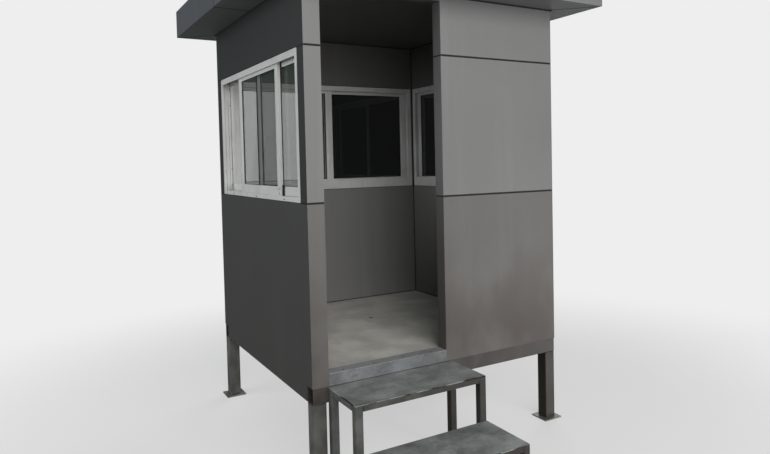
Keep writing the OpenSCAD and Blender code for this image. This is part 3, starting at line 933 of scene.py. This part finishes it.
@dataclass
class SlidingWindow:
    """A white aluminium window with two sliding sashes on two tracks."""

    cabin: Cabin
    side: Side
    outer_glass: Finish
    inner_glass: Finish
    base: float = 0.024
    rib: float = 0.0035
    rib_height: float = 0.008
    jamb_lip: float = 0.040
    head_lip: float = 0.045
    sill_lip: float = 0.032
    sill_upstand: float = 0.088
    outer_lip_depth: float = 0.010
    inner_lip_depth: float = 0.026
    track: tuple[float, float] = (0.014, 0.042)
    sash_width: float = 0.905
    sash_depth: float = 0.020
    stile: float = 0.065
    bottom_rail: float = 0.069
    top_rail: float = 0.042
    bead: float = 0.013
    bead_step: float = 0.0025
    groove: float = 0.008
    glass_depth: float = 0.005
    gasket: float = 0.0025
    fit: float = 0.0003
    frame_edge: float = 0.0008
    sash_edge: float = 0.0007
    brush: float = 0.007
    screw_shares: tuple[float, ...] = (0.08, 0.22, 0.78, 0.92)
    latch_share: float = 0.30
    drain_count: int = 3

    def build(self) -> None:
        """Builds every piece of the window in its wall's frame."""
        self.matrix = self.cabin.wall_frame(self.side)
        self.name = self.side.value + "_window"
        self.span = self.cabin.length(self.side)
        low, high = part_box(self.name + "_sashes")
        corners = [self.matrix.inverted() @ v for v in (low, high)]
        near = min(corners[0].x, corners[1].x)
        far = max(corners[0].x, corners[1].x) - self.sash_width
        self.outer, self.inner = (near, far) if self.side is Side.RIGHT else (far, near)
        self.sash_low, self.sash_high = low.z, high.z
        self.sashes = ((self.outer, self.track[0]), (self.inner, self.track[1]))
        self.frame_bars()
        self.sash_bars()
        self.panes()
        self.gaskets()
        self.hardware()

    def section(self, outer: float, inner: float) -> Outline:
        """Outline of a frame bar.

        Args:
            outer: reach of its outer lip.
            inner: reach of its inner lip.

        Returns:
            Points (across the opening, inwards), with a rib in each track.
        """
        floor = self.base - self.rib_height
        inner_start = self.cabin.wall - self.inner_lip_depth
        points = [(0, 0), (outer, 0), (outer, self.outer_lip_depth), (floor, self.outer_lip_depth)]
        for depth in self.track:
            middle = depth + self.sash_depth / 2
            for across, inwards in ((floor, -1), (self.base, -1), (self.base, 1), (floor, 1)):
                points.append((across, middle + inwards * self.rib / 2))
        wall = self.cabin.wall
        return points + [(floor, inner_start), (inner, inner_start), (inner, wall), (0, wall)]

    @staticmethod
    def ring(bars: Shape, low: Vector, high: Vector, sections: tuple[Outline, Outline, Outline], inset: float,
             edge: float) -> None:
        """Adds two uprights with a bottom and a top bar between them.

        Args:
            bars: the shape that takes them.
            low: lowest corner of the ring.
            high: highest corner; its depth isn't used.
            sections: outlines of an upright, the bottom bar and the top bar.
            inset: where the bottom and top bars start, from the ring's ends.
            edge: rounding of the bars.
        """
        upright, bottom, top = sections
        up = Vector((0, 0, high.z - low.z))
        along = Vector((high.x - low.x - 2 * inset, 0, 0))
        start = low.x + inset
        bars.bar([Vector((low.x + a, low.y + d, low.z)) for a, d in upright], up, edge)
        bars.bar([Vector((high.x - a, low.y + d, low.z)) for a, d in upright], up, edge)
        bars.bar([Vector((start, low.y + d, low.z + a)) for a, d in bottom], along, edge)
        bars.bar([Vector((start, low.y + d, high.z - a)) for a, d in top], along, edge)

    def frame_bars(self) -> None:
        """Two jambs from sill to head, with the sill and head bars between them."""
        cabin, bars = self.cabin, Shape()
        low = Vector((cabin.pillar, 0, cabin.sill))
        high = Vector((self.span - cabin.pillar, 0, cabin.head))
        sections = (self.section(self.jamb_lip, self.jamb_lip),
                    self.section(self.sill_lip, self.sill_upstand),
                    self.section(self.head_lip, self.head_lip))
        self.ring(bars, low, high, sections, self.jamb_lip + self.fit, self.frame_edge)
        bars.placed(self.matrix).made(self.name + "_bars", WHITE_BARS, self.name + "_frame")

    def sash_section(self, width: float) -> Outline:
        """Outline of a sash bar: a flat back, a stepped bead and a glass groove."""
        depth, bead, step = self.sash_depth, width - self.bead, self.bead_step
        slot_low = (depth - self.glass_depth) / 2 - self.gasket
        slot_high = (depth + self.glass_depth) / 2 + self.gasket
        bottom = width - self.groove
        return [(0, 0), (bead, 0), (bead, step), (width, step), (width, slot_low), (bottom, slot_low),
                (bottom, slot_high), (width, slot_high), (width, depth - step), (bead, depth - step),
                (bead, depth), (0, depth)]

    def sash_bars(self) -> None:
        """Two stiles and two rails of each sash."""
        bars = Shape()
        sections = tuple(self.sash_section(width) for width in (self.stile, self.bottom_rail, self.top_rail))
        for start, depth in self.sashes:
            low = Vector((start, depth, self.sash_low))
            high = Vector((start + self.sash_width, depth, self.sash_high))
            self.ring(bars, low, high, sections, self.stile + self.fit, self.sash_edge)
        bars.placed(self.matrix).made(self.name + "_sash_bars", WHITE_BARS, self.name + "_sashes")

    def pane_box(self, start: float, depth: float, grow: float) -> tuple[Vector, Vector]:
        """Low and high corner of a sash's glass, grown into the grooves."""
        middle = depth + self.sash_depth / 2
        half = self.glass_depth / 2
        low = Vector((start + self.stile - grow, middle - half, self.sash_low + self.bottom_rail - grow))
        high = Vector((start + self.sash_width - self.stile + grow, middle + half,
                       self.sash_high - self.top_rail + grow))
        return low, high

    def panes(self) -> None:
        """The two panes of glass, let into their grooves."""
        glasses = (("_outer_pane", self.outer_glass, (self.name + "_glass",)),
                   ("_inner_pane", self.inner_glass, ()))
        for (start, depth), (label, finish, replaced) in zip(self.sashes, glasses):
            low, high = self.pane_box(start, depth, self.groove * 0.75)
            Shape().block(low, high, 0.0006).placed(self.matrix).made(self.name + label, finish, *replaced)

    def gaskets(self) -> None:
        """Black strips on both faces of each pane, and the brushes between the sashes."""
        strips = Shape()
        reach = 0.003
        for start, depth in self.sashes:
            low, high = self.pane_box(start, depth, reach)
            for near, far in ((low.y - self.gasket + 0.0003, low.y), (high.y, high.y + self.gasket - 0.0003)):
                width = 2 * reach
                strips.block((low.x, near, low.z), (low.x + width, far, high.z), 0.0005)
                strips.block((high.x - width, near, low.z), (high.x, far, high.z), 0.0005)
                strips.block((low.x + width, near, low.z), (high.x - width, far, low.z + width), 0.0005)
                strips.block((low.x + width, near, high.z - width), (high.x - width, far, high.z), 0.0005)
        between = (self.track[0] + self.sash_depth, self.track[1])
        left_of, right_of = sorted((self.outer, self.inner))
        for edge in (right_of, left_of + self.sash_width - self.brush):
            strips.block((edge, between[0] + 0.0005, self.sash_low + 0.004),
                         (edge + self.brush, between[1] - 0.0005, self.sash_high - 0.004), 0.0008)
        strips.placed(self.matrix).made(self.name + "_gaskets", BLACK_GASKET)

    def hardware(self) -> None:
        """Latch, screws, rubber stop and drain slots."""
        cabin = self.cabin
        outward = Vector((0, -1, 0))
        screws = Shape()
        corner = self.outer + 0.020
        for lift in (0.022, 0.052):
            screws.screw(Vector((corner, self.track[0], self.sash_low + lift)), outward, 0.0045)
        track_floor = cabin.pillar + self.base - self.rib_height
        screw_depth = cabin.wall - self.inner_lip_depth - 0.004
        for share in self.screw_shares:
            height = cabin.sill + share * (cabin.head - cabin.sill)
            for across in (track_floor, self.span - track_floor):
                inwards = Vector((1 if across < self.span / 2 else -1, 0, 0))
                screws.screw(Vector((across, screw_depth, height)), inwards, 0.0035)
        screws.placed(self.matrix).made(self.name + "_screws", SCREW_ZINC)
        black = Shape()
        stop_low = cabin.sill + self.base
        black.block((self.outer - 0.006, self.track[0] + 0.012, stop_low),
                    (self.outer - 0.0003, self.track[0] + 0.019, stop_low + 0.080), 0.0012)
        # Painted shade: each drain slot is a thin black patch on the frame's face that stands for the shade
        # inside the hole.
        for i in range(self.drain_count):
            middle = cabin.pillar + (i + 0.5) * (self.span - 2 * cabin.pillar) / self.drain_count
            black.block((middle - 0.014, -0.0004, cabin.sill + 0.009),
                        (middle + 0.014, 0.001, cabin.sill + 0.014))
        black.placed(self.matrix).made(self.name + "_stops_and_drain_shade", BLACK_GASKET)
        latch = Shape()
        middle_z = self.sash_low + self.latch_share * (self.sash_high - self.sash_low)
        nearer = self.inner < self.outer
        across = self.inner + (self.sash_width - self.stile / 2 if nearer else self.stile / 2)
        face = self.track[1] + self.sash_depth
        latch.block((across - 0.011, face - 0.0003, middle_z - 0.032),
                    (across + 0.011, face + 0.006, middle_z + 0.032), 0.002)
        outline = ((-0.006, -0.005), (0.006, -0.005), (0.004, 0.040), (-0.004, 0.040))
        lever = [Vector((across + a, face + 0.006, middle_z + up)) for a, up in outline]
        latch.bar(lever, Vector((0, 0.007, 0)), 0.0015)
        latch.placed(self.matrix).made(self.name + "_latch", WHITE_BARS)


# -------------------------------------------------------------------- roof


@dataclass
class Roof:
    """Fascia, soffit, ceiling and deck, with their seals and flashing."""

    cabin: Cabin
    fold: float = 0.0011
    joint: float = 0.006
    seal_lap: float = 0.0025
    seam_height: float = 0.022
    seam_width: float = 0.012
    seam_pitch: float = 0.42
    flashing: float = 0.0012
    flashing_reach: float = 0.070

    def build(self) -> None:
        """Builds the roof from its underside to its deck."""
        fascia = Shape.copy_of("fascia").round_edges(self.fold)
        low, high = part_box("fascia")
        for axis, face, way in ((0, low.x, 1), (0, high.x, -1), (1, low.y, 1), (1, high.y, -1)):
            skin = [v for v in fascia.mesh.verts if abs(v.co[axis] - face) < 1e-5]
            shift = Vector((0, 0, 0))
            shift[axis] = way * 0.0004
            bmesh.ops.translate(fascia.mesh, vec=shift, verts=skin)
        fascia.made("fascia_boards", SHEET_FASCIA, "fascia")
        rounded("soffit", self.fold, "soffit_sheets", SHEET_SOFFIT)
        rounded("ceiling", self.fold, "ceiling_sheet", SHEET_INNER)
        dress(FRAME_STEEL, "roof_beams")
        dress(ROOF_SHEET, "roof_deck")
        self.joint_seals()
        self.wall_seal()
        self.deck_seams()
        self.edge_flashing()

    def joint_seals(self) -> None:
        """Black sealant in the joints at the middle of each side, and along the soffit's mitres."""
        low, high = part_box("fascia")
        sheet = self.cabin.sheet
        soffit_low, soffit_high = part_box("soffit")
        seals = Shape()
        half = self.joint / 2 + self.seal_lap
        middle = (low + high) / 2
        thin = -0.0005
        for axis in (1, 0):
            for face, way in ((low[axis], 1), (high[axis], -1)):
                depth = self.overhang(axis, face)
                for start, end, bottom, top in (
                        (0.0, sheet - 0.0002, low.z + 0.0005, high.z - 0.0005),
                        (sheet + 0.0005, depth - 0.0005, soffit_low.z + thin, soffit_high.z)):
                    near, far = sorted((face + way * start, face + way * end))
                    corners = [Vector((middle.x - half, middle.y - half, bottom)),
                               Vector((middle.x + half, middle.y + half, top))]
                    corners[0][axis], corners[1][axis] = near, far
                    seals.block(*corners)
        for x, way_x in ((soffit_low.x, 1), (soffit_high.x, -1)):
            for y, way_y in ((soffit_low.y, 1), (soffit_high.y, -1)):
                reach = self.overhang(0, low.x) - sheet - 0.001
                across = Vector((way_x * half, -way_y * half, 0)) / math.sqrt(2)
                out = Vector((x, y, soffit_low.z + thin)) + Vector((way_x, way_y, 0)) * 0.004
                run = Vector((way_x, way_y, 0)) * (reach - 0.004)
                rise = Vector((0, 0, 0.009))
                section = [out + across, out - across, out - across + rise, out + across + rise]
                seals.bar(section, run)
        seals.made("roof_joint_seals", BLACK_SEAL)

    def overhang(self, axis: int, edge: float) -> float:
        """How far the roof reaches past the cabin; at the sides, the left one stands for both.

        Args:
            axis: 0 for the sides, 1 for the front and back.
            edge: where the roof ends along that axis.

        Returns:
            The overhang.
        """
        cabin = self.cabin
        if axis == 0:
            return cabin.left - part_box("fascia")[0].x
        return min(abs(edge - cabin.front), abs(edge - cabin.back))

    @staticmethod
    def point(axis: int, across: float, along: float, height: float) -> Vector:
        """A point from its place across an edge, along it and up; axis 0 is a side edge."""
        return Vector((across, along, height) if axis == 0 else (along, across, height))

    def wall_seal(self) -> None:
        """A black bead in the corner between the soffit and the walls."""
        cabin = self.cabin
        seal = Shape()
        size = 0.010
        for side in Side:
            length = cabin.length(side)
            section = [Vector((-size, 0, cabin.soffit)), Vector((-size, -size, cabin.soffit)),
                       Vector((-size, 0, cabin.soffit - size))]
            strip = Shape().bar(section, Vector((length + 2 * size, 0, 0)))
            seal.absorb(strip.placed(cabin.wall_frame(side)))
        seal.made("soffit_wall_seal", BLACK_SEAL)

    def deck_seams(self) -> None:
        """Standing seams that run from front to back over the deck."""
        low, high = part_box("roof_deck")
        seams = Shape()
        count = round((high.x - low.x) / self.seam_pitch) - 1
        pitch = (high.x - low.x) / (count + 1)
        for i in range(1, count + 1):
            x = low.x + i * pitch
            half, top = self.seam_width / 2, self.seam_height
            outline = [(-half * 2.4, 0.0), (half * 2.4, 0.0), (half * 2.4, 0.0015), (half * 0.5, 0.0015),
                       (half * 0.5, top - 0.006), (half, top - 0.006), (half, top), (-half * 0.5, top),
                       (-half * 0.5, 0.0015), (-half * 2.4, 0.0015)]
            section = [Vector((x + a, low.y + 0.002, high.z + up)) for a, up in outline]
            seams.bar(section, Vector((0, high.y - low.y - 0.004, 0)), 0.0006)
        seams.made("roof_seams", ROOF_SHEET)

    def edge_flashing(self) -> None:
        """Angles round the inside of the fascia, screwed down to the deck."""
        cabin = self.cabin
        low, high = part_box("roof_deck")
        flashing, screws = Shape(), Shape()
        deck, top = cabin.deck + 0.0235, cabin.top - 0.001
        thick, reach = self.flashing, self.flashing_reach
        leg = deck + thick
        outline = [(0, deck), (reach, deck), (reach, leg), (thick, leg), (thick, top), (0, top)]
        for axis, count, inset in ((1, 9, 0.0), (0, 8, reach)):
            run = 1 - axis
            length = high[run] - low[run]
            for face, way in ((low[axis], 1), (high[axis], -1)):
                section = [self.point(axis, face + way * a, low[run] + inset, z) for a, z in outline]
                flashing.bar(section, self.point(axis, 0.0, length - 2 * inset, 0.0), 0.0005)
                for i in range(count):
                    along = low[run] + (i + 0.5) * length / count
                    seat = self.point(axis, face + way * reach * 0.6, along, leg)
                    screws.screw(seat, Vector((0, 0, 1)), 0.005)
        flashing.made("roof_edge_flashing", ROOF_SHEET)
        screws.made("roof_screws", SCREW_ZINC)


# ------------------------------------------------------------------- steps


@dataclass
class Steps:
    """Two treads on welded tube frames."""

    tread_edge: float = 0.0016
    tube: float = 0.050
    weld_radius: float = 0.0035
    worn_edge: float = 0.030

    def build(self) -> None:
        """Dresses both steps and adds their welds."""
        beads = Shape()
        for step in ("upper_step", "lower_step"):
            low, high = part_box(step + "_tread")
            worn = Galvanised(step + "_zinc", Slot.GALVANISED, STEP_ZINC, tuple(low), tuple(high),
                              self.worn_edge)
            rounded(step + "_tread", self.tread_edge, step + "_plate", worn)
            dress(STEP_STEEL, step + "_frame")
            self.tread_welds(beads, step)
        beads.made("step_welds", WELD_METAL)

    def tread_welds(self, beads: Shape, step: str) -> None:
        """Beads under a tread's edge and at the corners of its rails."""
        low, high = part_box(step + "_frame")
        tread_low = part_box(step + "_tread")[0]
        inset = self.tube + 0.004
        stitch = 0.055
        rows = [y for y in (low.y, high.y) if y > CAD_BOX[0].y + self.weld_radius]
        for y in rows:
            for share in (0.12, 0.37, 0.63, 0.88):
                middle = low.x + share * (high.x - low.x)
                beads.weld((middle - stitch / 2, y, tread_low.z), (middle + stitch / 2, y, tread_low.z),
                           self.weld_radius)
        for x in (low.x + inset, high.x - inset):
            for y in rows:
                beads.weld((x, y, tread_low.z - 0.031), (x, y, tread_low.z - 0.003), self.weld_radius)


# ------------------------------------------------------------------ studio


@dataclass
class Studio:
    """Pale floor and backdrop, soft lights and the camera."""

    backdrop: float = 0.855
    floor_radius: float = 60.0
    floor_fade: tuple[float, float] = (2.0, 5.5)
    lens: float = 30.128
    lens_shift: tuple[float, float] = (-0.0394, -0.0548)
    camera_place: tuple[float, float, float] = (-2.4636, -4.4147, 2.015)
    camera_turn: tuple[float, float, float] = (31.24, -2.16, -1.22)

    def build(self) -> None:
        """Builds the whole studio."""
        bpy.context.scene.view_settings.view_transform = "Standard"
        self.world()
        self.floor()
        self.lights()
        self.camera()

    def world(self) -> None:
        """A pale backdrop that lights the booth less than it shows."""
        world = bpy.data.worlds.new("studio_world")
        bpy.context.scene.world = world
        world.use_nodes = True
        tree = world.node_tree
        tree.nodes.clear()
        output = tree.nodes.new("ShaderNodeOutputWorld")
        seen = tree.nodes.new("ShaderNodeBackground")
        seen.inputs["Color"].default_value = (self.backdrop, self.backdrop, self.backdrop, 1)
        unseen = tree.nodes.new("ShaderNodeBackground")
        unseen.inputs["Color"].default_value = (0.95, 0.98, 1.0, 1)
        unseen.inputs["Strength"].default_value = 0.12
        ray = tree.nodes.new("ShaderNodeLightPath")
        mix = tree.nodes.new("ShaderNodeMixShader")
        tree.links.new(ray.outputs["Is Camera Ray"], mix.inputs["Fac"])
        tree.links.new(unseen.outputs[0], mix.inputs[1])
        tree.links.new(seen.outputs[0], mix.inputs[2])
        tree.links.new(mix.outputs[0], output.inputs["Surface"])

    def floor(self) -> None:
        """A wide pale floor that fades into the backdrop."""
        mesh = bmesh.new()
        bmesh.ops.create_circle(mesh, cap_ends=True, radius=self.floor_radius, segments=96)
        data = bpy.data.meshes.new("studio_floor")
        mesh.to_mesh(data)
        mesh.free()
        floor = bpy.data.objects.new("studio_floor", data)
        bpy.context.scene.collection.objects.link(floor)
        graph = Graph("studio_floor")
        graph.set(Base_Color=grey(0.80), Roughness=0.9, Specular_IOR_Level=0.0)
        glow = graph.node("ShaderNodeEmission", {}, {"Color": grey(self.backdrop)})
        distance = graph.node("ShaderNodeVectorMath", {"operation": "LENGTH"}, {0: graph.place})
        far = Value(graph, distance.outputs["Value"]).rise(*self.floor_fade)
        mix = graph.node("ShaderNodeMixShader", {}, {"Fac": far * 0.45 + 0.55, 1: graph.shader.outputs[0],
                                                     2: glow.outputs[0]})
        output = next(n for n in graph.tree.nodes if n.type == "OUTPUT_MATERIAL")
        graph.feed(output.inputs["Surface"], mix.outputs[0])
        data.materials.append(graph.material)
        floor.visible_diffuse = False
        floor.visible_glossy = False

    def area(self, name: str, place: Vector, target: Vector, size: tuple[float, float], power: float,
             colour: Colour = (1, 1, 1)) -> None:
        """Adds a rectangular soft light.

        Args:
            name: its name.
            place: where it hangs.
            target: where it points.
            size: its width and height.
            power: in watts.
            colour: of its light.
        """
        data = bpy.data.lights.new(name, "AREA")
        data.shape = "RECTANGLE"
        data.size, data.size_y = size
        data.energy = power
        data.color = colour
        light = bpy.data.objects.new(name, data)
        light.location = place
        light.rotation_euler = (Vector(target) - Vector(place)).to_track_quat("-Z", "Y").to_euler()
        light.visible_camera = False
        bpy.context.scene.collection.objects.link(light)

    def lights(self) -> None:
        """A wide key in front, softer ones at the left and the rear, and a low bounce at the right."""
        self.area("key", (-1.5, -12.0, 5.0), (0, 0, 1.5), (11.0, 9.0), 1350, (1.0, 0.99, 0.975))
        self.area("side", (-9.5, 1.8, 3.4), (-1, 0.3, 1.5), (8.0, 6.0), 470, (0.97, 0.99, 1.0))
        self.area("bounce", (3.2, -2.2, 0.03), (1.25, -0.8, 3.1), (3.5, 3.0), 78)
        self.area("rear", (7.5, 7.0, 4.5), (0.5, 0.6, 1.6), (7.0, 6.0), 420)

    def camera(self) -> None:
        """The camera, at eye height in front of the left corner."""
        data = bpy.data.cameras.new("camera")
        data.sensor_width = 36.0
        data.lens = self.lens
        data.shift_x, data.shift_y = self.lens_shift
        data.clip_end = 200.0
        camera = bpy.data.objects.new("camera", data)
        yaw, pitch, roll = (math.radians(angle) for angle in self.camera_turn)
        forward = Vector((math.sin(yaw) * math.cos(pitch), math.cos(yaw) * math.cos(pitch), math.sin(pitch)))
        level = Vector((math.cos(yaw), -math.sin(yaw), 0))
        upright = level.cross(forward)
        right = math.cos(roll) * level + math.sin(roll) * upright
        up = math.cos(roll) * upright - math.sin(roll) * level
        turn = Matrix((right, up, -forward)).transposed().to_4x4()
        camera.matrix_world = Matrix.Translation(self.camera_place) @ turn
        bpy.context.scene.collection.objects.link(camera)
        bpy.context.scene.camera = camera


# -------------------------------------------------------------------- main


def main() -> None:
    """Builds the booth's sub-assemblies in order, then the studio."""
    logging.basicConfig(level=logging.INFO, format="%(message)s")
    cabin = Cabin.measured()
    SteelBase(cabin).build()
    FloorPart(cabin).build()
    WallSheets(cabin).build()
    Doorway(cabin).build()
    SlidingWindow(cabin, Side.LEFT, GLASS_LIGHT, GLASS_LIGHT).build()
    SlidingWindow(cabin, Side.RIGHT, GLASS_DARK, GLASS_DARK).build()
    SlidingWindow(cabin, Side.BACK, GLASS_DARK, GLASS_LIGHT).build()
    Roof(cabin).build()
    Steps().build()
    Studio().build()


if __name__ == "__main__":
    main()
